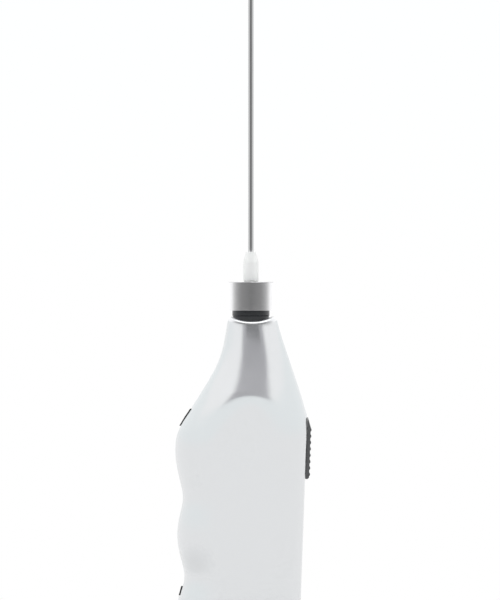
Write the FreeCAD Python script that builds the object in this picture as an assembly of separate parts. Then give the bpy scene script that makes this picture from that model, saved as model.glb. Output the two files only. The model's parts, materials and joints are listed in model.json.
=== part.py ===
import FreeCAD, Part
import math
import os
from FreeCAD import Placement, Rotation, Vector

# Battery milk frother, standing on its base with the whisk up. Millimetres.
# Z runs up the whisk axis, X towards the thumb switch, Y towards the user's left.
# The origin is on the base face, under the whisk axis.

X_AXIS = Vector(1, 0, 0)
Y_AXIS = Vector(0, 1, 0)
Z_AXIS = Vector(0, 0, 1)

# Well outside the whole part
FAR = 40.0

# Handle form: height, back of the section, front of the section
HANDLE_SECTIONS = [
    (-2.0, -23.6, 17.1),
    (4.0, -24.2, 17.3),
    (10.0, -24.5, 17.5),
    (16.5, -23.7, 17.7),
    (22.6, -22.3, 17.9),
    (29.5, -23.6, 18.1),
    (36.5, -24.6, 18.3),
    (42.5, -23.9, 18.5),
    (48.5, -22.8, 18.7),
    (55.5, -24.0, 19.0),
    (63.0, -25.2, 19.3),
    (70.0, -24.5, 19.5),
    (78.0, -19.9, 17.9),
    (84.0, -16.1, 16.1),
    (90.0, -12.5, 14.1),
    (96.0, -9.9, 12.1),
    (102.0, -8.5, 10.1),
    (108.0, -7.5, 8.5),
    (111.0, -7.0, 7.8),
]
WALL = 1.8
BACK_WALL = 3.6
BACK_WALL_TOP = 76.0
FRONT_FOOT_X = 15.9
FRONT_LEAN = 0.034868
SIDE_FOOT_Y = 16.7
SIDE_LEAN = 0.0061
FORM_TOP = 115.0
SIDE_ROUND = 11.0
FRONT_ROUND = 6.0
BASE_ROUND = 1.5
RIM_ROUND = 1.6
SEAM_WIDTH = 0.12
SEAM_DEPTH = 0.4
SADDLE_R = 14.5
SADDLE_X = 0.5
SADDLE_Z = 121.5

# Neck: collar, cap and bearing
CAVITY_TOP = 98.0
NECK_LEDGE_R = 5.6
NECK_LEDGE_TOP = 101.0
FLANGE_R = 7.0
FLANGE_TOP = 103.0
COLLAR_R = 6.0
COLLAR_LINE_Z = 108.7
COLLAR_TOP_R = 6.15
COLLAR_GROOVE = 0.15
COLLAR_EDGE = 0.1
CAP_BASE = 110.4
CAP_TOP = 119.85
CAP_R = 7.6
CAP_ROUND = 0.15
CAP_HOLE_R = 3.1
SPIGOT_R = 4.5
SPIGOT_TOP = 116.6
SEAL_TOP = 118.0
SEAL_R = 2.42
BUSH_R = 3.1
BUSH_BORE_R = 2.35
BUSH_BASE = 104.0
BUSH_TOP = 110.0

# Whisk
STEM_R = 2.3
STEM_BASE = 94.0
HUB_R = 2.5
HUB_BASE = 120.3
HUB_SHOULDER = 126.5
HUB_TIP_R = 1.6
HUB_TIP = 129.8
SOCKET_FLOOR = 112.0
SHAFT_R = 0.9
SHAFT_TOP = 225.0
SHAFT_END_ROUND = 0.3
RING_Z = 224.0
RING_R = 10.0
RING_WIRE_R = 0.5
COIL_WIRE_R = 0.25
COIL_R = 1.9
COIL_END_R = 0.76
COIL_TURNS = 17
COIL_START = 11.0
COIL_TAPER_TURNS = 1.5

# Motor, the common 20 x 15 x 25 size
MOTOR_R = 10.05
MOTOR_FLAT = 7.55
CAN_WALL = 0.8
CAN_BASE = 65.5
CAN_TOP = 90.5
BOSS_R = 3.0
BOSS_TOP = 92.0
END_CAP_BASE = 63.5
MOTOR_BUSH_R = 2.0
MOTOR_BUSH_BORE_R = 1.03
MOTOR_SHAFT_R = 1.0
MOTOR_SHAFT_FOOT = 63.0
MOTOR_SHAFT_TOP = 100.0
CORE_BASE = 71.5
CORE_TOP = 83.5
CORE_R = 6.3
CORE_HUB_R = 2.5
POLE_ROOT_R = 5.3
ARM_WIDTH = 2.0
POLE_OVERLAP = 0.3
POLE_GAP = 1.4
WINDING_WIDTH = 5.4
WINDING_FROM = 2.9
WINDING_TO = 5.0
WINDING_END = 1.2
WINDING_ROUND = 0.6
MAGNET_R = 6.7
MAGNET_ANGLE = 40.0
COMMUTATOR_R = 2.5
COMMUTATOR_GROOVE = 0.3
COMMUTATOR_GROOVE_DEPTH = 0.4
COMMUTATOR_BASE = 66.5
COMMUTATOR_TOP = 69.7
PLUG_BORE_R = 8.0
PLUG_BORE_HALF_Y = 5.8
TERMINAL_X = 7.1
TERMINAL_FOOT = 61.5
BRUSH_HALF_WIDTH = 1.2
BRUSH_X = 2.56
BRUSH_THICKNESS = 1.2
BRUSH_BASE = 67.0
BRUSH_LEAF = 67.8
BRUSH_TOP = 69.0

# Cells and chassis
CELL_X = -3.3
CELL_Y = 7.4
CELL_R = 7.25
CELL_BORE_R = 7.45
CELL_BASE = 7.5
CELL_TOP = 58.0
NUB_R = 2.75
NUB_H = 1.0
CELL_ROUND = 0.5
STRIP = 0.5
CHASSIS_BASE = 14.0
CHASSIS_HALF_X = 8.65
CHASSIS_HALF_Y = 13.0
BULKHEAD_TOP = 60.0
CRADLE_TOP = 78.0
CRADLE_HALF_X = 12.0
CRADLE_HALF_Y = 9.4
CRADLE_ROUND = 4.0
PLATFORM_FOOT = 52.0
PLATFORM_HALF_Y = 5.2
PLATFORM_BACK_X = 3.7
PLATFORM_WALL = 1.5
PLATFORM_WEB = 1.0
TAB_ROOM_HALF_X = 8.3
TAB_ROOM_HALF_Y = 5.5
SWITCH_ROOM_X = 7.0
CONTACT_X = 12.0
CONTACT_FACE = 12.4
SHEET = 0.4
PAD_HALF = 3.0
BAR_INNER_Y = 0.4
BAR_OUTER_Y = 3.4
POSITIVE_TOP = 70.0
NEGATIVE_TOP = 63.2
UPPER_BASE = 67.0
UPPER_TOP = 72.0
UPPER_NEAR_Y = -0.6
UPPER_BEND_Y = -3.6
UPPER_FAR_Y = -6.0

# Cover and springs
COVER_TOP = 10.0
SHUT_GAP = 0.15
COVER_FLOOR = 2.0
LIP_TOP = 13.5
LIP_GAP = 0.3
LIP_WALL = 1.0
LIP_ROOT = 4.0
LIP_ROOT_GAP = 0.5
PLATE_TOP = 2.4
PLATE_HALF_X = 5.0
PLATE_HALF_Y = 12.0
SPRING_LIFT = 0.01
SPRING_WIRE_R = 0.35
SPRING_FOOT_R = 3.6
SPRING_HEAD_R = 2.2
SPRING_TURNS = 5
SPRING_TOP = 7.45

# Screws: X, Z
SCREWS = [(-15.4, 66.5), (-15.4, 26.0), (10.6, 26.0), (10.6, 48.0)]
SCREW_BOSS_R = 3.2
SCREW_R = 1.15
SCREW_CLEARANCE_R = 1.3
SCREW_HEAD_R = 2.2
SCREW_WELL_R = 2.4
SCREW_SEAT_Y = 12.0
SCREW_HEAD_TOP = 13.6
SCREW_TIP_Y = -8.0
SCREW_END_GAP = 0.5
RECESS_HALF_LENGTH = 1.5
RECESS_HALF_WIDTH = 0.3
RECESS_DEPTH = 1.0

# Ribs that carry the chassis and the motor: bottom, top
RIBS = [(20.0, 21.6), (43.0, 44.6)]
MOTOR_RIB = (84.5, 86.1)

# Rubber finger grip, set into the back: X of its inner face, Z
GRIP_LINE = [
    (-21.9, 16.0),
    (-20.5, 22.6),
    (-21.8, 29.5),
    (-22.8, 36.5),
    (-22.1, 42.5),
    (-21.0, 48.5),
    (-22.2, 55.5),
    (-23.4, 63.0),
    (-22.7, 70.0),
    (-20.8, 74.5),
    (-18.0, 78.5),
]
GRIP_HALF_Y = 4.0
GRIP_THICKNESS = 0.9
GRIP_RIB_R = 0.5
GRIP_RIB_SINK = 0.1
GRIP_RIB_HALF_Y = 3.0
GRIP_RIB_PITCH = 3.0
GRIP_RIBS = 16
GRIP_FIRST_RIB_Z = 23.0
GRIP_LIP_HALF_Y = 2.6
GRIP_TOP_LIP = [(-22.2, 72.5), (-23.6, 72.5), (-21.8, 75.5), (-20.1, 78.0), (-19.0, 78.0)]
GRIP_FOOT_LIP = [(-22.3, 16.6), (-23.8, 16.6), (-23.05, 19.4), (-21.9, 19.4)]

# Thumb slider, in its own axes: out of the front, across, up the front
SLIDER_Z = 65.05
SLIDER_HALF_WIDTH = 4.5
SLIDER_FOOT = -10.15
SLIDER_HEAD = 10.15
SLIDER_GAP = 0.15
SLIDER_CREST = 1.6
SLIDER_RAMP = 3.2
RIB_COUNT = 8
RIB_PITCH = 2.1
RIB_HEIGHT = 0.3
RIB_R = 0.75
SLIDER_CORNER = 2.0
SLOT_HALF_LENGTH = 5.05
SLOT_HALF_WIDTH = 1.7
SLIDER_EDGE = 0.5
SLIDER_RIB_MARGIN = 0.8
FIRST_RIB_W = -8.55
STEM_W = -1.75
STEM_HALF_WIDTH = 1.5
STEM_HALF_LENGTH = 3.0
KEEPER_OUT = -2.1
KEEPER_IN = -3.3
KEEPER_HALF_WIDTH = 3.5
KEEPER_HALF_LENGTH = 7.0
BRIDGE_IN = -3.7
BRIDGE_HALF_WIDTH = 3.3
BRIDGE_HALF_LENGTH = 3.5
WIPER_R = 1.1
WIPER_W = 1.0
WIPER_SINK = 0.15


os.makedirs("parts", exist_ok=True)


def save(name, shape):
    shape.exportStep(os.path.join("parts", name + ".step"))


def cylinder(radius, bottom, top, x=0.0, y=0.0):
    return Part.makeCylinder(radius, top - bottom, Vector(x, y, bottom))


def tube(inner, outer, bottom, top):
    return cylinder(outer, bottom, top).cut(cylinder(inner, bottom, top))


def box(x0, x1, y0, y1, z0, z1):
    return Part.makeBox(x1 - x0, y1 - y0, z1 - z0, Vector(x0, y0, z0))


def layer(bottom, top):
    return box(-FAR, FAR, -FAR, FAR, bottom, top)


def across(radius, y0, y1, x, z):
    return Part.makeCylinder(radius, y1 - y0, Vector(x, y0, z), Y_AXIS)


def turned(points):
    outline = Part.makePolygon([Vector(r, 0, z) for r, z in points + points[:1]])
    return Part.Face(outline).revolve(Vector(0, 0, 0), Z_AXIS, 360)


def extruded(points, half_y):
    outline = Part.makePolygon([Vector(x, -half_y, z) for x, z in points + points[:1]])
    return Part.Face(outline).extrude(Vector(0, 2 * half_y, 0))


# Everything behind the grip line, moved by an offset along X
def behind_grip(offset, half_y):
    line = Part.BSplineCurve()
    line.interpolate([Vector(x + offset, -half_y, z) for x, z in GRIP_LINE])
    corners = [
        line.EndPoint,
        Vector(-FAR, -half_y, line.EndPoint.z),
        Vector(-FAR, -half_y, line.StartPoint.z),
        line.StartPoint,
    ]
    sides = [line.toShape()]
    for start, end in zip(corners, corners[1:]):
        sides.append(Part.makeLine(start, end))
    return Part.Face(Part.Wire(sides)).extrude(Vector(0, 2 * half_y, 0))


def edges_where(shape, test):
    found = []
    for edge in shape.Edges:
        middle = edge.valueAt((edge.FirstParameter + edge.LastParameter) / 2)
        if test(edge, middle):
            found.append(edge)
    return found


def front_x(z):
    return FRONT_FOOT_X + FRONT_LEAN * z


def side_y(z):
    return SIDE_FOOT_Y + SIDE_LEAN * z


# The handle form, shrunk by a wall at the front and sides and by another at the back
def handle_form(wall, back_wall):
    rings = []
    for z, back, front in HANDLE_SECTIONS:
        behind = back_wall if z < BACK_WALL_TOP else wall
        x0 = back + behind
        x1 = front - wall
        circle = Part.makeCircle((x1 - x0) / 2, Vector((x0 + x1) / 2, 0, z))
        rings.append(Part.Wire([circle]))
    form = Part.makeLoft(rings, True, False)
    face = [
        (-FAR, 0),
        (front_x(0) - wall, 0),
        (front_x(FORM_TOP) - wall, FORM_TOP),
        (-FAR, FORM_TOP),
    ]
    front = extruded(face, FAR)
    side = [
        Vector(-FAR, wall - side_y(0), 0),
        Vector(-FAR, side_y(0) - wall, 0),
        Vector(-FAR, side_y(FORM_TOP) - wall, FORM_TOP),
        Vector(-FAR, wall - side_y(FORM_TOP), FORM_TOP),
    ]
    slab = Part.Face(Part.makePolygon(side + side[:1])).extrude(Vector(2 * FAR, 0, 0))
    return form.common(front).common(slab)


def outer_form():
    form = handle_form(0, 0)
    form = form.cut(across(SADDLE_R, -FAR, FAR, SADDLE_X, SADDLE_Z))
    sides = edges_where(form, lambda edge, at: abs(at.y) > SIDE_FOOT_Y - 0.5 and edge.Length > 100)
    form = form.makeFillet(SIDE_ROUND, sides)
    fronts = edges_where(form, lambda edge, at: at.x > 10 and at.z > 5 and edge.Length > 40)
    form = form.makeFillet(FRONT_ROUND, fronts)
    form = form.makeFillet(BASE_ROUND, edges_where(form, lambda edge, at: abs(at.z) < 0.01))
    return form.makeFillet(RIM_ROUND, edges_where(form, lambda edge, at: at.z > 105))


# Arcs that carry a curve on from one point and direction to the next
def arc_from(start, direction, end):
    chord = end - start
    bulge = direction - chord * (direction.dot(chord) / chord.dot(chord))
    turn = direction.getAngle(chord)
    bulge.normalize()
    crown = (start + end) * 0.5 + bulge * (chord.Length / 2 * math.tan(turn / 2))
    return Part.Arc(start, crown, end).toShape()


def arc_pair(start, start_direction, end, end_direction):
    chord = end - start
    both = start_direction + end_direction
    share = 2 * (1 - start_direction.dot(end_direction))
    lean = chord.dot(both)
    reach = (math.sqrt(lean**2 + share * chord.dot(chord)) - lean) / share
    joint = (start + end + (start_direction - end_direction) * reach) * 0.5
    return [arc_from(start, start_direction, joint), arc_from(end, end_direction * -1, joint)]


def coil(point, steps, wire_r):
    nudge = 1e-5
    places = [point(i / steps) for i in range(steps + 1)]
    directions = []
    for i in range(steps + 1):
        direction = point(i / steps + nudge) - point(i / steps - nudge)
        directions.append(direction.normalize())
    arcs = []
    for i in range(steps):
        arcs += arc_pair(places[i], directions[i], places[i + 1], directions[i + 1])
    path = Part.Wire(arcs)
    section = Part.Wire([Part.makeCircle(wire_r, places[0], directions[0])])
    return path.makePipeShell([section], True, False)


# Handle shells
outer = outer_form()
cavity = handle_form(WALL, BACK_WALL)
hollow = cavity.common(layer(-1, CAVITY_TOP))

slide_frame = Placement(
    Vector(front_x(SLIDER_Z), 0, SLIDER_Z),
    Rotation(Y_AXIS, math.degrees(math.atan(FRONT_LEAN))),
)

grip_room = behind_grip(0, GRIP_HALF_Y)
slot = box(-4, 3, -SLOT_HALF_WIDTH, SLOT_HALF_WIDTH, -SLOT_HALF_LENGTH, SLOT_HALF_LENGTH)
slot.Placement = slide_frame

motor_outline = cylinder(MOTOR_R, 60, CAN_TOP).common(
    box(-MOTOR_R, MOTOR_R, -MOTOR_FLAT, MOTOR_FLAT, 60, CAN_TOP)
)
chassis_room = box(
    CELL_X - CHASSIS_HALF_X,
    CELL_X + CHASSIS_HALF_X,
    -CHASSIS_HALF_Y,
    CHASSIS_HALF_Y,
    CHASSIS_BASE,
    BULKHEAD_TOP,
)
cell_bores = cylinder(CELL_BORE_R, 0, CELL_TOP + STRIP, CELL_X, CELL_Y).fuse(
    cylinder(CELL_BORE_R, 0, CELL_TOP + STRIP, CELL_X, -CELL_Y)
)

core_form = handle_form(WALL / 2, BACK_WALL / 2)
shell = outer.cut(hollow)
for rib_base, rib_top in RIBS:
    rib = cavity.common(layer(rib_base, rib_top))
    shell = shell.fuse(rib.cut(chassis_room).cut(cell_bores))
motor_rib = cavity.common(layer(MOTOR_RIB[0], MOTOR_RIB[1]))
shell = shell.fuse(motor_rib.cut(motor_outline))
for x, z in SCREWS:
    shell = shell.fuse(across(SCREW_BOSS_R, -FAR, FAR, x, z).common(core_form))
skin = outer.cut(handle_form(SEAM_DEPTH, SEAM_DEPTH))
seam = skin.common(box(-FAR, FAR, -SEAM_WIDTH / 2, SEAM_WIDTH / 2, 0, FORM_TOP))
shell = shell.cut(grip_room).cut(slot).cut(seam)
shell = shell.cut(cylinder(NECK_LEDGE_R, CAVITY_TOP - 1, NECK_LEDGE_TOP + 1))
shell = shell.cut(cylinder(FLANGE_R, NECK_LEDGE_TOP, FLANGE_TOP))
shell = shell.cut(cylinder(COLLAR_R, NECK_LEDGE_TOP, FORM_TOP))

right_shell = shell.common(box(-FAR, FAR, -FAR, 0, COVER_TOP, FORM_TOP))
left_shell = shell.common(box(-FAR, FAR, 0, FAR, COVER_TOP, FORM_TOP))
for x, z in SCREWS:
    right_shell = right_shell.cut(across(SCREW_R, SCREW_TIP_Y - SCREW_END_GAP, 1, x, z))
    left_shell = left_shell.cut(across(SCREW_CLEARANCE_R, -1, SCREW_SEAT_Y, x, z))
    left_shell = left_shell.cut(across(SCREW_WELL_R, SCREW_SEAT_Y, FAR, x, z))
save("right_shell", right_shell)
save("left_shell", left_shell)

screws = []
for x, z in SCREWS:
    screw = across(SCREW_R, SCREW_TIP_Y, SCREW_SEAT_Y, x, z)
    screw = screw.fuse(across(SCREW_HEAD_R, SCREW_SEAT_Y, SCREW_HEAD_TOP, x, z))
    arm = (RECESS_HALF_LENGTH, RECESS_HALF_WIDTH)
    for half_x, half_z in (arm, arm[::-1]):
        recess = box(x - half_x, x + half_x, SCREW_HEAD_TOP - RECESS_DEPTH, FAR, z - half_z, z + half_z)
        screw = screw.cut(recess)
    screws.append(screw)
save("housing_screws", Part.makeCompound(screws))

# Finger grip
grip = grip_room.cut(behind_grip(-GRIP_THICKNESS, GRIP_HALF_Y + 1))
grip_curve = Part.BSplineCurve()
grip_curve.interpolate([Vector(x - GRIP_THICKNESS, 0, z) for x, z in GRIP_LINE])
for i in range(GRIP_RIBS):
    z = GRIP_FIRST_RIB_Z + GRIP_RIB_PITCH * i
    level = Part.makeLine(Vector(-FAR, 0, z), Vector(0, 0, z))
    x = grip_curve.toShape().distToShape(level)[1][0][0].x
    grip = grip.fuse(across(GRIP_RIB_R, -GRIP_RIB_HALF_Y, GRIP_RIB_HALF_Y, x + GRIP_RIB_SINK, z))
for lip_outline in (GRIP_TOP_LIP, GRIP_FOOT_LIP):
    grip = grip.fuse(extruded(lip_outline, GRIP_LIP_HALF_Y).common(grip_room))
save("finger_grip", grip.removeSplitter())

# Collar, cap and bearing in the neck
collar = turned(
    [
        (BUSH_R, NECK_LEDGE_TOP),
        (FLANGE_R, NECK_LEDGE_TOP),
        (FLANGE_R, FLANGE_TOP),
        (COLLAR_R, FLANGE_TOP),
        (COLLAR_R, COLLAR_LINE_Z - COLLAR_GROOVE),
        (COLLAR_R - COLLAR_GROOVE, COLLAR_LINE_Z),
        (COLLAR_TOP_R - COLLAR_EDGE, COLLAR_LINE_Z),
        (COLLAR_TOP_R, COLLAR_LINE_Z + COLLAR_EDGE),
        (COLLAR_TOP_R, CAP_BASE),
        (SPIGOT_R, CAP_BASE),
        (SPIGOT_R, SPIGOT_TOP),
        (BUSH_R, SPIGOT_TOP),
    ]
)
save("neck_collar", collar)
save("neck_bush", tube(BUSH_BORE_R, BUSH_R, BUSH_BASE, BUSH_TOP))

cap = cylinder(CAP_R, CAP_BASE, CAP_TOP)
cap = cap.makeFillet(CAP_ROUND, edges_where(cap, lambda edge, at: edge.isClosed() and at.z > CAP_BASE + 1))
cap = cap.cut(cylinder(SPIGOT_R, CAP_BASE - 1, SEAL_TOP))
cap = cap.cut(cylinder(CAP_HOLE_R, CAP_BASE, CAP_TOP + 1))
save("nose_cap", cap)
save("shaft_seal", tube(SEAL_R, SPIGOT_R, SPIGOT_TOP, SEAL_TOP))

# Whisk
hub = turned(
    [
        (0, STEM_BASE),
        (STEM_R, STEM_BASE),
        (STEM_R, HUB_BASE),
        (HUB_R, HUB_BASE),
        (HUB_R, HUB_SHOULDER),
        (HUB_TIP_R, HUB_TIP),
        (0, HUB_TIP),
    ]
)
hub = hub.cut(cylinder(MOTOR_SHAFT_R, STEM_BASE - 1, MOTOR_SHAFT_TOP))
hub = hub.cut(cylinder(SHAFT_R, SOCKET_FLOOR, HUB_TIP + 1))
save("whisk_hub", hub)

shaft = cylinder(SHAFT_R, SOCKET_FLOOR, SHAFT_TOP)
shaft = shaft.makeFillet(SHAFT_END_ROUND, edges_where(shaft, lambda edge, at: at.z > SHAFT_TOP - 0.1))
shaft = shaft.cut(Part.makeCylinder(RING_WIRE_R, 4 * SHAFT_R, Vector(-2 * SHAFT_R, 0, RING_Z), X_AXIS))
save("whisk_shaft", shaft)

ring = Part.makeTorus(RING_R, RING_WIRE_R, Vector(0, 0, RING_Z))
spoke = Part.makeCylinder(RING_WIRE_R, 2 * RING_R, Vector(-RING_R, 0, RING_Z), X_AXIS)
save("whisk_ring", ring.fuse(spoke))


def coil_point(first_angle):
    def point(share):
        angle = math.radians(first_angle + (180 - 2 * COIL_START) * share)
        wrap = 2 * math.pi * COIL_TURNS * share
        from_end = min(share, 1 - share) * COIL_TURNS
        growth = 0.5 - 0.5 * math.cos(math.pi * min(max(from_end / COIL_TAPER_TURNS, 0), 1))
        radius = COIL_END_R + (COIL_R - COIL_END_R) * growth
        out = RING_R + radius * math.cos(wrap)
        height = RING_Z + radius * math.sin(wrap)
        return Vector(out * math.cos(angle), out * math.sin(angle), height)

    return point


halves = []
for first_angle in (COIL_START, 180 + COIL_START):
    halves.append(coil(coil_point(first_angle), 4 * COIL_TURNS, COIL_WIRE_R))
save("whisk_coil", Part.makeCompound(halves))

# Motor
can = motor_outline.common(layer(CAN_BASE, CAN_TOP))
inner_can = cylinder(MOTOR_R - CAN_WALL, CAN_BASE, CAN_TOP - CAN_WALL).common(
    box(-FAR, FAR, CAN_WALL - MOTOR_FLAT, MOTOR_FLAT - CAN_WALL, CAN_BASE, CAN_TOP)
)
can = can.cut(inner_can).fuse(cylinder(BOSS_R, CAN_TOP - CAN_WALL, BOSS_TOP))
can = can.cut(cylinder(MOTOR_BUSH_R, CAN_BASE, BOSS_TOP + 1))
save("motor_can", can)

front_bush = tube(MOTOR_BUSH_BORE_R, MOTOR_BUSH_R, CAN_TOP - CAN_WALL, BOSS_TOP)
rear_bush = tube(MOTOR_BUSH_BORE_R, MOTOR_BUSH_R, END_CAP_BASE, CAN_BASE)
save("motor_bushes", Part.makeCompound([front_bush, rear_bush]))

brushes = []
for side in (1, -1):
    half = BRUSH_HALF_WIDTH
    back = BRUSH_X + BRUSH_THICKNESS
    tab = box(TERMINAL_X, TERMINAL_X + SHEET, -half, half, TERMINAL_FOOT, BRUSH_LEAF + SHEET)
    leaf = box(back, TERMINAL_X + SHEET, -half, half, BRUSH_LEAF, BRUSH_LEAF + SHEET)
    block = box(BRUSH_X, back, -half, half, BRUSH_BASE, BRUSH_TOP)
    brush = tab.fuse(leaf).fuse(block)
    if side < 0:
        brush.rotate(Vector(0, 0, 0), Z_AXIS, 180)
    brushes.append(brush)
brushes = Part.makeCompound(brushes)
save("motor_brushes", brushes)

end_cap = motor_outline.common(layer(END_CAP_BASE, CAN_BASE))
plug = inner_can.common(layer(CAN_BASE, CAN_BASE + 1))
plug_bore = cylinder(PLUG_BORE_R, CAN_BASE, CAN_BASE + 1)
plug_bore = plug_bore.common(box(-FAR, FAR, -PLUG_BORE_HALF_Y, PLUG_BORE_HALF_Y, CAN_BASE, CAN_TOP))
plug = plug.cut(plug_bore)
end_cap = end_cap.fuse(plug).cut(cylinder(MOTOR_BUSH_R, END_CAP_BASE - 1, CAN_BASE + 1))
save("motor_end_cap", end_cap.cut(brushes))

save("motor_shaft", cylinder(MOTOR_SHAFT_R, MOTOR_SHAFT_FOOT, MOTOR_SHAFT_TOP))

core = cylinder(CORE_HUB_R, CORE_BASE, CORE_TOP)
arm_gaps = cylinder(POLE_ROOT_R, CORE_BASE, CORE_TOP)
poles = cylinder(CORE_R, CORE_BASE, CORE_TOP).cut(arm_gaps)
windings = []
for turn in (0, 120, 240):
    arm = box(0, POLE_ROOT_R + POLE_OVERLAP, -ARM_WIDTH / 2, ARM_WIDTH / 2, CORE_BASE, CORE_TOP)
    gap = box(0, FAR, -POLE_GAP / 2, POLE_GAP / 2, CORE_BASE, CORE_TOP)
    half = WINDING_WIDTH / 2
    winding = box(WINDING_FROM, WINDING_TO, -half, half, CORE_BASE - WINDING_END, CORE_TOP + WINDING_END)
    along = edges_where(winding, lambda edge, at: edge.BoundBox.XLength > 2)
    winding = winding.makeFillet(WINDING_ROUND, along)
    arm.rotate(Vector(0, 0, 0), Z_AXIS, turn)
    gap.rotate(Vector(0, 0, 0), Z_AXIS, turn + 60)
    winding.rotate(Vector(0, 0, 0), Z_AXIS, turn)
    core = core.fuse(arm)
    poles = poles.cut(gap)
    windings.append(winding)
core = core.fuse(poles).cut(cylinder(MOTOR_SHAFT_R, CORE_BASE, CORE_TOP))
save("armature_core", core)
save("armature_windings", Part.makeCompound([winding.cut(core) for winding in windings]))

commutator = tube(MOTOR_SHAFT_R, COMMUTATOR_R, COMMUTATOR_BASE, COMMUTATOR_TOP)
for turn in (30, 150, 270):
    half = COMMUTATOR_GROOVE / 2
    floor = COMMUTATOR_R - COMMUTATOR_GROOVE_DEPTH
    groove = box(floor, FAR, -half, half, COMMUTATOR_BASE, COMMUTATOR_TOP)
    groove.rotate(Vector(0, 0, 0), Z_AXIS, turn)
    commutator = commutator.cut(groove)
save("commutator", commutator)

magnets = []
for middle in (0, 180):
    length = CORE_TOP - CORE_BASE
    wedge = Part.makeCylinder(MOTOR_R - CAN_WALL, length, Vector(0, 0, CORE_BASE), Z_AXIS, 2 * MAGNET_ANGLE)
    wedge.rotate(Vector(0, 0, 0), Z_AXIS, middle - MAGNET_ANGLE)
    magnets.append(wedge.cut(cylinder(MAGNET_R, CORE_BASE - 1, CORE_TOP + 1)))
save("motor_magnets", Part.makeCompound(magnets))

# Cells
cell_up = cylinder(CELL_R, CELL_BASE, CELL_TOP - NUB_H, CELL_X, CELL_Y)
cell_up = cell_up.makeFillet(CELL_ROUND, edges_where(cell_up, lambda edge, at: edge.isClosed()))
cell_up = cell_up.fuse(cylinder(NUB_R, CELL_TOP - NUB_H, CELL_TOP, CELL_X, CELL_Y))
save("battery_upright", cell_up)
cell_down = cell_up.copy()
cell_down.rotate(Vector(CELL_X, 0, (CELL_BASE + CELL_TOP) / 2), X_AXIS, 180)
save("battery_inverted", cell_down)

# Contacts in the chassis
strip_top = CELL_TOP + STRIP
pad_start = CELL_X - PAD_HALF
pad_end = CELL_X + PAD_HALF
positive = box(pad_start, pad_end, BAR_INNER_Y, CELL_Y + PAD_HALF, CELL_TOP, strip_top)
positive = positive.cut(box(pad_start, CELL_X + 1, 0, CELL_Y - PAD_HALF, CELL_TOP, strip_top))
positive = positive.fuse(box(CELL_X + 1, CONTACT_FACE, BAR_INNER_Y, BAR_OUTER_Y, CELL_TOP, strip_top))
positive = positive.fuse(box(CONTACT_X, CONTACT_FACE, BAR_INNER_Y, BAR_OUTER_Y, CELL_TOP, POSITIVE_TOP))
save("positive_contact", positive)

foot_top = TERMINAL_FOOT + SHEET
upper = box(CONTACT_X, CONTACT_FACE, UPPER_BEND_Y, UPPER_NEAR_Y, UPPER_BASE, UPPER_TOP)
upper = upper.fuse(box(CONTACT_X, CONTACT_FACE, UPPER_FAR_Y, UPPER_BEND_Y, TERMINAL_FOOT, UPPER_TOP))
upper = upper.fuse(box(TERMINAL_X + SHEET, CONTACT_FACE, UPPER_FAR_Y, 0, TERMINAL_FOOT, foot_top))
save("switch_contact_upper", upper)

tab_x = -TERMINAL_X - 2 * SHEET
half = BRUSH_HALF_WIDTH
negative = box(pad_start, pad_end, -CELL_Y - PAD_HALF, PAD_HALF - CELL_Y, CELL_TOP, strip_top)
negative = negative.fuse(box(tab_x, pad_start, -CELL_Y, half, CELL_TOP, strip_top))
negative = negative.fuse(box(tab_x, tab_x + SHEET, -half, half, CELL_TOP, NEGATIVE_TOP))
save("negative_contact", negative)

# Chassis: cell box below, motor cradle and switch platform above
chassis = chassis_room.cut(cell_bores)
cradle = box(-CRADLE_HALF_X, CRADLE_HALF_X, -CRADLE_HALF_Y, CRADLE_HALF_Y, BULKHEAD_TOP, CRADLE_TOP)
upright = edges_where(cradle, lambda edge, at: edge.BoundBox.ZLength > 1)
cradle = cradle.makeFillet(CRADLE_ROUND, upright)
chassis = chassis.fuse(cradle)
platform = box(PLATFORM_BACK_X, CONTACT_X, -PLATFORM_HALF_Y, PLATFORM_HALF_Y, PLATFORM_FOOT, BULKHEAD_TOP)
inside_y = PLATFORM_HALF_Y - PLATFORM_WEB
inside_x = CONTACT_X - PLATFORM_WALL
inside_top = BULKHEAD_TOP - PLATFORM_WALL
platform = platform.cut(box(0, inside_x, -inside_y, inside_y, PLATFORM_FOOT, inside_top))
chassis = chassis.fuse(platform).cut(cell_bores)
chassis = chassis.cut(motor_outline.common(layer(END_CAP_BASE, CRADLE_TOP)))
tab_room_y = TAB_ROOM_HALF_Y
chassis = chassis.cut(
    box(-TAB_ROOM_HALF_X, TAB_ROOM_HALF_X, -tab_room_y, tab_room_y, BULKHEAD_TOP, END_CAP_BASE)
)
chassis = chassis.cut(
    box(SWITCH_ROOM_X, FAR, UPPER_FAR_Y, -UPPER_FAR_Y, BULKHEAD_TOP, END_CAP_BASE)
)
for contact in (positive, upper, negative):
    chassis = chassis.cut(contact)
save("chassis", chassis.removeSplitter())

# Thumb slider and its bridge
def centred(u0, u1, half_width, half_length):
    return box(u0, u1, -half_width, half_width, STEM_W - half_length, STEM_W + half_length)


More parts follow.
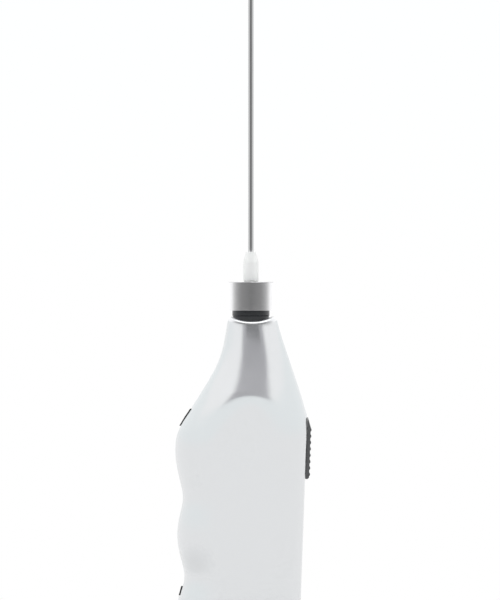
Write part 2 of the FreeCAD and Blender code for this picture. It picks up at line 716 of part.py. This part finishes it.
crest = SLIDER_CREST - RIB_HEIGHT
plate_outline = [
    (SLIDER_GAP, SLIDER_FOOT),
    (crest - SLIDER_EDGE, SLIDER_FOOT),
    (crest, SLIDER_FOOT + SLIDER_EDGE),
    (crest, SLIDER_HEAD - SLIDER_RAMP),
    (2 * SLIDER_GAP, SLIDER_HEAD),
    (SLIDER_GAP, SLIDER_HEAD),
]
plate = extruded(plate_outline, SLIDER_HALF_WIDTH)
plan = box(0, 4, -SLIDER_HALF_WIDTH, SLIDER_HALF_WIDTH, SLIDER_FOOT, SLIDER_HEAD)
corners = edges_where(plan, lambda edge, at: edge.BoundBox.XLength > 3.9)
plate = plate.common(plan.makeFillet(SLIDER_CORNER, corners))
for i in range(RIB_COUNT):
    w = FIRST_RIB_W + RIB_PITCH * i
    half = SLIDER_HALF_WIDTH - SLIDER_RIB_MARGIN
    plate = plate.fuse(across(RIB_R, -half, half, SLIDER_CREST - RIB_R, w))
stem = centred(KEEPER_OUT, SLIDER_GAP, STEM_HALF_WIDTH, STEM_HALF_LENGTH)
keeper = centred(KEEPER_IN, KEEPER_OUT, KEEPER_HALF_WIDTH, KEEPER_HALF_LENGTH)
slider = plate.fuse(stem).fuse(keeper)
slider.Placement = slide_frame
save("thumb_slider", slider)

bridge = centred(BRIDGE_IN, KEEPER_IN, BRIDGE_HALF_WIDTH, BRIDGE_HALF_LENGTH)
wiper_u = BRIDGE_IN + WIPER_SINK - WIPER_R
wiper = across(WIPER_R, -BRIDGE_HALF_WIDTH, BRIDGE_HALF_WIDTH, wiper_u, WIPER_W)
bridge = bridge.fuse(wiper.common(centred(-FAR, KEEPER_IN, FAR, FAR)))
bridge.Placement = slide_frame
save("switch_bridge", bridge)

# Battery cover with its plate and springs
cover = outer.cut(cavity).common(layer(-1, COVER_TOP - SHUT_GAP))
cover = cover.fuse(outer.common(layer(-1, COVER_FLOOR)))
lip_inside = handle_form(WALL + LIP_GAP + LIP_WALL, BACK_WALL + LIP_GAP + LIP_WALL)
lip = handle_form(WALL + LIP_GAP, BACK_WALL + LIP_GAP).cut(lip_inside)
lip = lip.common(layer(COVER_TOP - LIP_ROOT, LIP_TOP))
lip_root = cavity.cut(lip_inside)
lip_root = lip_root.common(layer(COVER_TOP - LIP_ROOT, COVER_TOP - LIP_ROOT_GAP))
cover = cover.fuse(lip.fuse(lip_root).cut(cell_bores))
save("battery_cover", cover.removeSplitter())

plate_start = CELL_X - PLATE_HALF_X
plate_end = CELL_X + PLATE_HALF_X
contact_plate = box(plate_start, plate_end, -PLATE_HALF_Y, PLATE_HALF_Y, COVER_FLOOR, PLATE_TOP)
save("cover_contact_plate", contact_plate)


def spring_point(y):
    low = PLATE_TOP + SPRING_WIRE_R + SPRING_LIFT
    high = SPRING_TOP - SPRING_WIRE_R

    def point(share):
        radius = SPRING_FOOT_R + (SPRING_HEAD_R - SPRING_FOOT_R) * share
        angle = 2 * math.pi * SPRING_TURNS * share
        height = low + (high - low) * share
        return Vector(CELL_X + radius * math.cos(angle), y + radius * math.sin(angle), height)

    return point


springs = []
for y in (CELL_Y, -CELL_Y):
    springs.append(coil(spring_point(y), 4 * SPRING_TURNS, SPRING_WIRE_R))
save("battery_springs", Part.makeCompound(springs))
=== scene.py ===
import json
import math

import bpy
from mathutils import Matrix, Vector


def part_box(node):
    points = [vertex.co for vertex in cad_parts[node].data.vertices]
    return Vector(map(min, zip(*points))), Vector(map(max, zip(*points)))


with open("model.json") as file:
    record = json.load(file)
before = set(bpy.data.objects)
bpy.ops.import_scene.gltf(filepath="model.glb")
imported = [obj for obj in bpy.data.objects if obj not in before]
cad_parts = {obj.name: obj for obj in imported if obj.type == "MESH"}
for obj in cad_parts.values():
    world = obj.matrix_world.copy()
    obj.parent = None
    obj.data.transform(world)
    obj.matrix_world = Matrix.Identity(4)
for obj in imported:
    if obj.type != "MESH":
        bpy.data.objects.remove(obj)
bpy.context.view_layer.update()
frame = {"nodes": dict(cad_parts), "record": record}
nodes = frame["nodes"]

# Metres, but for the sensor. The camera looks along +Y at a window with this middle and height.
VIEW_X = -0.0003
VIEW_Z = 0.1139
VIEW_HEIGHT = 0.198
CAMERA_DISTANCE = 1.6
CAMERA_REACH = 20.0
SENSOR_MM = 36.0

# The floor is half see-through, so that the pulled battery cover shows below it
FLOOR_R = 0.2
FLOOR_GAP = 0.0002
FLOOR_SIDES = 96
FLOOR_BASE = 0.3
FLOOR_ALPHA = 0.5
# Floor glow against nearness to the middle: bright at the rim to meet the white backdrop, dim
# within about 60 mm as a painted shadow under the object
FLOOR_GLOW_AND_PAINTED_SHADOW = [(0.05, 0.6), (0.7, 0.29)]

# Sky brightness against the sine of the elevation: white walls and a brighter softbox overhead
SKY_STRENGTH = 2.0
WALL_TONE = (0.485, 0.503, 0.505)
SKY_TONES = [
    (0.0, (0.5, 0.5, 0.5)),
    (0.2, WALL_TONE),
    (0.72, WALL_TONE),
    (0.82, (1.0, 1.0, 1.0)),
]

# Reflection cards: radius round the whisk axis, then the lowest and highest point
SHAFT_CARD = (0.008, 0.1305, 0.2185)
NECK_CARD = (0.075, 0.12, 0.185)
PATCH_CARD = (0.03, 0.1125, 0.1155)

# The cap's card reaches past the cap at both ends
CAP_CARD_R = 0.016
CAP_CARD_BELOW = 0.0012
CAP_CARD_ABOVE = 0.0015
CARD_STEPS = 120

# Card tones by degrees from straight ahead, alike on the left and the right
SHAFT_TONES = [(0, 0.08), (12, 0.15), (44, 0.62), (95, 0.92), (150, 0.95), (166, 0.25), (180, 0.15)]
CAP_TONES = [
    (0, 0.2),
    (36, 0.27),
    (46, 0.33),
    (56, 0.42),
    (68, 0.6),
    (80, 0.92),
    (90, 1.2),
    (140, 1.3),
    (160, 0.5),
    (180, 0.25),
]
DUSK = (0.42, 0.415, 0.435)
NECK_TONES = [(0, DUSK), (38, DUSK), (50, 1.06), (130, 1.06), (160, 0.6), (180, 0.5)]
PATCH_TONES = [(0, 0.0), (22, 0.0), (27, 0.3)]

# How a texture is squeezed along X, Y and Z: a small number draws its lines out along that axis
EVEN = (1.0, 1.0, 1.0)
TURNED = (0.05, 0.05, 1.0)
WOUND = (0.1, 0.1, 1.0)
ROLLED = (1.0, 1.0, 0.2)
DRAWN = (1.0, 1.0, 0.02)

# Bare metals: colour, roughness, run of the tool marks, how fine they are and how deep
METALS = {
    "satin_aluminium": ((0.8, 0.8, 0.81), 0.2, TURNED, 14000, 0.000003),
    "stainless_steel": ((0.66, 0.665, 0.67), 0.13, DRAWN, 9000, 0.000002),
    "zinc_steel": ((0.5, 0.51, 0.52), 0.3, EVEN, 1500, 0.000008),
    "sintered_bronze": ((0.55, 0.38, 0.2), 0.4, EVEN, 4000, 0.00001),
    "spring_brass": ((0.78, 0.6, 0.3), 0.22, ROLLED, 3000, 0.000003),
    "copper": ((0.8, 0.4, 0.22), 0.25, WOUND, 5000, 0.00002),
}

# Moulded or pressed pieces: colour, roughness, how fine the grain is and how deep
PLASTICS = {
    "black_plastic": ((0.015, 0.017, 0.02), 0.3, 3500, 0.000004),
    "dark_plastic": ((0.075, 0.075, 0.078), 0.42, 3000, 0.00001),
    "ferrite": ((0.07, 0.07, 0.075), 0.55, 2500, 0.00002),
}


def new_material(name):
    material = bpy.data.materials.new(name)
    material.use_nodes = True
    tree = material.node_tree
    return material, tree, tree.nodes["Principled BSDF"]


def link(tree, source, out_name, target, in_name):
    tree.links.new(source.outputs[out_name], target.inputs[in_name])


# Object coordinates, squeezed along each axis
def coordinates(tree, squeeze=EVEN):
    place = tree.nodes.new("ShaderNodeTexCoord")
    mapping = tree.nodes.new("ShaderNodeMapping")
    mapping.inputs["Scale"].default_value = squeeze
    link(tree, place, "Object", mapping, "Vector")
    return mapping


def noise(tree, scale, detail=4.0, squeeze=EVEN):
    texture = tree.nodes.new("ShaderNodeTexNoise")
    texture.inputs["Scale"].default_value = scale
    texture.inputs["Detail"].default_value = detail
    link(tree, coordinates(tree, squeeze), "Vector", texture, "Vector")
    return texture


# Stops are (position, grey) or (position, colour)
def ramp(tree, source, out_name, stops):
    node = tree.nodes.new("ShaderNodeValToRGB")
    elements = node.color_ramp.elements
    while len(elements) < len(stops):
        elements.new(0.5)
    for element, (position, value) in zip(elements, stops):
        element.position = position
        colour = value if isinstance(value, tuple) else (value, value, value)
        element.color = (*colour, 1.0)
    link(tree, source, out_name, node, "Fac")
    return node


def bump(tree, shader, source, out_name, depth):
    node = tree.nodes.new("ShaderNodeBump")
    node.inputs["Distance"].default_value = depth
    link(tree, source, out_name, node, "Height")
    link(tree, node, "Normal", shader, "Normal")


# Colour that follows a texture through a ramp
def tint(tree, shader, source, out_name, stops):
    link(tree, ramp(tree, source, out_name, stops), "Color", shader, "Base Color")


# Roughness that follows a texture through a ramp
def roughen(tree, shader, source, out_name, stops):
    link(tree, ramp(tree, source, out_name, stops), "Color", shader, "Roughness")


# How far up a point lies between two heights, from 0 to 1
def height_between(tree, low, high):
    split = tree.nodes.new("ShaderNodeSeparateXYZ")
    link(tree, coordinates(tree), "Vector", split, "Vector")
    height = tree.nodes.new("ShaderNodeMapRange")
    height.inputs["From Min"].default_value = low
    height.inputs["From Max"].default_value = high
    link(tree, split, "Z", height, "Value")
    return height


def shade(colour, share):
    return tuple(min(channel * share, 1.0) for channel in colour)


# Fine metal flake under a thin clear coat
def silver_paint():
    material, tree, shader = new_material("silver_paint")
    base = (0.735, 0.745, 0.757)
    flakes = noise(tree, scale=2600, detail=2.0)
    tint(tree, shader, flakes, "Fac", [(0.3, shade(base, 0.975)), (0.7, shade(base, 1.02))])
    cloud = noise(tree, scale=60, detail=3.0)
    roughen(tree, shader, cloud, "Fac", [(0.3, 0.18), (0.7, 0.22)])
    shader.inputs["Metallic"].default_value = 0.9
    shader.inputs["Coat Weight"].default_value = 0.15
    shader.inputs["Coat Roughness"].default_value = 0.2
    orange_peel = noise(tree, scale=350, detail=2.0)
    bump(tree, shader, orange_peel, "Fac", depth=0.000002)
    return material


def metal(name, base, roughness, squeeze, scale, depth):
    material, tree, shader = new_material(name)
    lines = noise(tree, scale, 5.0, squeeze)
    tint(tree, shader, lines, "Fac", [(0.25, shade(base, 0.88)), (0.75, shade(base, 1.05))])
    roughen(tree, shader, lines, "Fac", [(0.2, roughness * 0.8), (0.8, roughness * 1.25)])
    shader.inputs["Metallic"].default_value = 1.0
    bump(tree, shader, lines, "Fac", depth)
    return material


# Cloudy colour and a fine grain
def plastic(name, base, roughness, scale, depth):
    material, tree, shader = new_material(name)
    cloud = noise(tree, scale=45)
    tint(tree, shader, cloud, "Fac", [(0.3, shade(base, 0.9)), (0.7, shade(base, 1.1))])
    pits = noise(tree, scale, 3.0)
    roughen(tree, shader, pits, "Fac", [(0.3, roughness * 0.85), (0.7, roughness * 1.15)])
    bump(tree, shader, pits, "Fac", depth)
    return material


# Milky, and slightly see-through
def nylon():
    material, tree, shader = new_material("white_nylon")
    cloud = noise(tree, scale=120, detail=3.0)
    tint(tree, shader, cloud, "Fac", [(0.3, (0.93, 0.93, 0.92)), (0.7, (0.97, 0.97, 0.965))])
    roughen(tree, shader, cloud, "Fac", [(0.3, 0.25), (0.7, 0.35)])
    shader.inputs["Transmission Weight"].default_value = 0.25
    shader.inputs["IOR"].default_value = 1.3
    bump(tree, shader, noise(tree, scale=2500, detail=2.0), "Fac", depth=0.000004)
    return material


# Pebbled rubber, with a cell for each pebble
def rubber():
    material, tree, shader = new_material("black_rubber")
    cloud = noise(tree, scale=80)
    tint(tree, shader, cloud, "Fac", [(0.3, (0.03, 0.03, 0.031)), (0.7, (0.046, 0.046, 0.047))])
    cells = tree.nodes.new("ShaderNodeTexVoronoi")
    cells.inputs["Scale"].default_value = 1800
    link(tree, coordinates(tree), "Vector", cells, "Vector")
    roughen(tree, shader, cells, "Distance", [(0.0, 0.55), (0.6, 0.75)])
    shader.inputs["Specular IOR Level"].default_value = 0.35
    bump(tree, shader, cells, "Distance", depth=0.00005)
    return material


# Steel ends, then a dark and a gold band between them
def cell_jacket():
    material, tree, shader = new_material("cell_jacket")
    steel = (0.6, 0.6, 0.6)
    dark = (0.05, 0.07, 0.1)
    gold = (0.62, 0.42, 0.12)
    foot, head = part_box("battery_upright")
    stops = [(0.0, steel), (0.03, dark), (0.7, gold), (0.97, steel)]
    bands = ramp(tree, height_between(tree, foot.z, head.z), "Result", stops)
    bands.color_ramp.interpolation = "CONSTANT"
    link(tree, bands, "Color", shader, "Base Color")
    roughen(tree, shader, noise(tree, scale=300), "Fac", [(0.3, 0.22), (0.7, 0.3)])
    shader.inputs["Metallic"].default_value = 0.5
    return material


# One finish for each material slot in the part's record
def make_materials():
    finishes = {
        "silver_paint": silver_paint(),
        "white_nylon": nylon(),
        "black_rubber": rubber(),
        "cell_jacket": cell_jacket(),
    }
    for name, look in METALS.items():
        finishes[name] = metal(name, *look)
    for name, look in PLASTICS.items():
        finishes[name] = plastic(name, *look)
    return finishes


def dress(finishes):
    for subpart in frame["record"]["subparts"]:
        materials = nodes[subpart["node"]].data.materials
        materials.clear()
        materials.append(finishes[subpart["material_slot"]])


def make_world():
    world = bpy.data.worlds.new("studio")
    bpy.context.scene.world = world
    world.use_nodes = True
    tree = world.node_tree
    place = tree.nodes.new("ShaderNodeTexCoord")
    split = tree.nodes.new("ShaderNodeSeparateXYZ")
    link(tree, place, "Generated", split, "Vector")
    link(tree, ramp(tree, split, "Z", SKY_TONES), "Color", tree.nodes["Background"], "Color")
    tree.nodes["Background"].inputs["Strength"].default_value = SKY_STRENGTH


def add_mesh(name, verts, faces):
    mesh = bpy.data.meshes.new(name)
    mesh.from_pydata(verts, [], faces)
    piece = bpy.data.objects.new(name, mesh)
    bpy.context.scene.collection.objects.link(piece)
    return piece


# A pale disc that glows more towards its rim, so it fades into the white backdrop; its dimmer glow
# in the middle is a painted shadow under the object
def make_floor():
    verts = [(0.0, 0.0, -FLOOR_GAP)]
    faces = []
    for i in range(FLOOR_SIDES):
        angle = 2 * math.pi * i / FLOOR_SIDES
        verts.append((FLOOR_R * math.cos(angle), FLOOR_R * math.sin(angle), -FLOOR_GAP))
        faces.append((0, 1 + i, 1 + (i + 1) % FLOOR_SIDES))
    floor = add_mesh("floor", verts, faces)

    material, tree, shader = new_material("floor_paper_with_painted_shadow")
    glow_and_shadow_spread = tree.nodes.new("ShaderNodeTexGradient")
    glow_and_shadow_spread.gradient_type = "SPHERICAL"
    link(tree, coordinates(tree, (1 / FLOOR_R,) * 3), "Vector", glow_and_shadow_spread, "Vector")
    # The emission is weaker towards the middle: painted shade under the object, on top of the real
    # shadow
    link(tree, ramp(tree, glow_and_shadow_spread, "Fac", FLOOR_GLOW_AND_PAINTED_SHADOW), "Color", shader, "Emission Color")
    shader.inputs["Base Color"].default_value = (FLOOR_BASE, FLOOR_BASE, FLOOR_BASE, 1.0)
    shader.inputs["Alpha"].default_value = FLOOR_ALPHA
    shader.inputs["Emission Strength"].default_value = 1.0
    shader.inputs["Roughness"].default_value = 0.9
    shader.inputs["Specular IOR Level"].default_value = 0.1
    floor.data.materials.append(material)


# Emission toned across the card's width. The tones are (degrees from the middle, tone).
def card_glow(name, tones):
    material = bpy.data.materials.new(name)
    material.use_nodes = True
    tree = material.node_tree
    tree.nodes.clear()
    place = tree.nodes.new("ShaderNodeUVMap")
    place.uv_map = "UVMap"
    split = tree.nodes.new("ShaderNodeSeparateXYZ")
    link(tree, place, "UV", split, "Vector")
    both = [(-angle, tone) for angle, tone in reversed(tones) if angle] + tones
    widest = tones[-1][0]
    band = ramp(tree, split, "X", [(0.5 + angle / (2 * widest), tone) for angle, tone in both])
    glow = tree.nodes.new("ShaderNodeEmission")
    link(tree, band, "Color", glow, "Color")
    output = tree.nodes.new("ShaderNodeOutputMaterial")
    link(tree, glow, "Emission", output, "Surface")
    return material


# A card bent round the whisk axis, as wide as its tones reach, seen only in reflections
def make_card(name, radius, low, high, tones):
    half = math.radians(tones[-1][0])
    verts = []
    faces = []
    for i in range(CARD_STEPS + 1):
        angle = -math.pi / 2 - half + 2 * half * i / CARD_STEPS
        for z in (low, high):
            verts.append((radius * math.cos(angle), radius * math.sin(angle), z))
        if i:
            faces.append((2 * i - 2, 2 * i, 2 * i + 1, 2 * i - 1))
    card = add_mesh(name, verts, faces)
    layer = card.data.uv_layers.new(name="UVMap")
    for loop in card.data.loops:
        layer.data[loop.index].uv = (loop.vertex_index // 2 / CARD_STEPS, loop.vertex_index % 2)
    card.data.materials.append(card_glow(name, tones))
    card.visible_camera = False
    card.visible_diffuse = False
    card.visible_shadow = False
    card.visible_transmission = False


def make_cards():
    foot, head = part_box("nose_cap")
    make_card("shaft_card", *SHAFT_CARD, SHAFT_TONES)
    make_card("cap_card", CAP_CARD_R, foot.z - CAP_CARD_BELOW, head.z + CAP_CARD_ABOVE, CAP_TONES)
    make_card("neck_card", *NECK_CARD, NECK_TONES)
    make_card("patch_card", *PATCH_CARD, PATCH_TONES)


def make_camera():
    data = bpy.data.cameras.new("camera")
    camera = bpy.data.objects.new("camera", data)
    bpy.context.scene.collection.objects.link(camera)
    camera.location = (VIEW_X, -CAMERA_DISTANCE, VIEW_Z)
    camera.rotation_euler = (math.pi / 2, 0.0, 0.0)
    data.sensor_width = SENSOR_MM
    data.lens = SENSOR_MM * CAMERA_DISTANCE / VIEW_HEIGHT
    data.clip_end = CAMERA_REACH
    bpy.context.scene.camera = camera


view = bpy.context.scene.view_settings
view.view_transform = "Standard"
view.look = "None"
make_camera()
make_world()
make_floor()
make_cards()
dress(make_materials())
